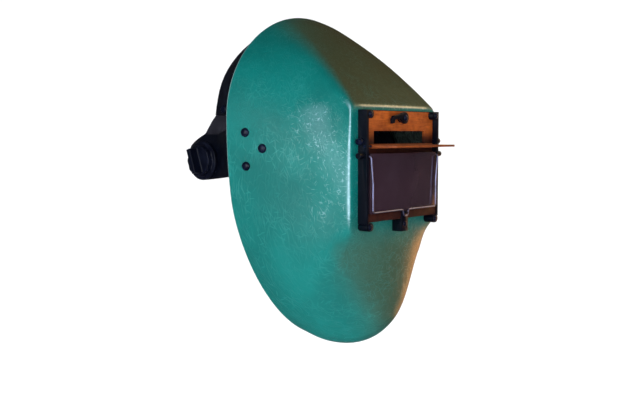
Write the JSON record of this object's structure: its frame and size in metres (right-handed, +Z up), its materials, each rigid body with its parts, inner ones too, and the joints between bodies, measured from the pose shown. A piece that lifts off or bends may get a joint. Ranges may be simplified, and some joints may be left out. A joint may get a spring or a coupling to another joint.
{
  "type": "welding helmet",
  "caption": "Welding helmet with a moulded face shell, a front window with viewing slot and dark glass, a folding flap, and a head harness on side pivots.",
  "frame": {"origin": "middle of the head band, where the helmet sits on a head", "axes": "+Z up, the wearer faces -Y, the wearer's left is +X"},
  "size_m": [0.234, 0.3029, 0.3345],
  "materials": {
    "glass_fibre": "gel coat",
    "black_plastic": "moulded",
    "brown_laminate": "pressed",
    "dark_glass": "polished",
    "bright_wire": "plated"
  },
  "bodies": {
    "harness": {"head_band": "black_plastic", "crown_strap": "black_plastic", "strap_stud_right": "black_plastic", "strap_stud_left": "black_plastic", "ear_plate_right": "black_plastic", "ear_plate_left": "black_plastic", "pivot_stud_right": "black_plastic", "pivot_stud_left": "black_plastic"},
    "shell": {"shell": "glass_fibre", "ear_bracket_right": "black_plastic", "ear_bracket_left": "black_plastic", "shell_rivet_right_top": "black_plastic", "shell_rivet_right_front": "black_plastic", "shell_rivet_right_bottom": "black_plastic", "shell_rivet_left_top": "black_plastic", "shell_rivet_left_front": "black_plastic", "shell_rivet_left_bottom": "black_plastic", "window_frame": "black_plastic", "window_board": "brown_laminate", "dark_glass": "dark_glass", "flap_rod": "black_plastic", "latch_screw": "black_plastic", "bail_catch": "black_plastic", "catch_screw": "black_plastic", "frame_screw_top_right": "black_plastic", "frame_screw_top_left": "black_plastic", "frame_screw_bottom_right": "black_plastic", "frame_screw_bottom_left": "black_plastic", "side_screw_right": "black_plastic", "side_screw_left": "black_plastic"},
    "flap": {"slot_flap": "brown_laminate"},
    "latch": {"turn_latch": "black_plastic"},
    "bail": {"glass_bail": "bright_wire", "bail_cap_right": "black_plastic", "bail_cap_left": "black_plastic"},
    "knob_right": {"tension_knob_right": "black_plastic"},
    "knob_left": {"tension_knob_left": "black_plastic"}
  },
  "joints": [
    {"name": "helmet_tilt", "type": "hinge", "parent": "harness", "child": "shell", "pos_m": [0, 0.02, -0.022], "axis": [-1, 0, 0], "range_deg": [0, 62]},
    {"name": "flap_hinge", "type": "hinge", "parent": "shell", "child": "flap", "pos_m": [0, -0.1687, -0.0059], "axis": [-1, 0, 0], "range_deg": [0, 72]},
    {"name": "latch_pivot", "type": "hinge", "parent": "shell", "child": "latch", "pos_m": [-0.001, -0.1716, 0.021], "axis": [0, 1, 0], "range_deg": [0, 90]},
    {"name": "bail_swing", "type": "hinge", "parent": "shell", "child": "bail", "pos_m": [0, -0.1674, -0.0145], "axis": [-1, 0, 0], "range_deg": [0, 80]},
    {"name": "knob_turn_right", "type": "hinge", "parent": "harness", "child": "knob_right", "pos_m": [0, 0.02, -0.022], "axis": [-1, 0, 0], "continuous": true},
    {"name": "knob_turn_left", "type": "hinge", "parent": "harness", "child": "knob_left", "pos_m": [0, 0.02, -0.022], "axis": [1, 0, 0], "continuous": true}
  ]
}
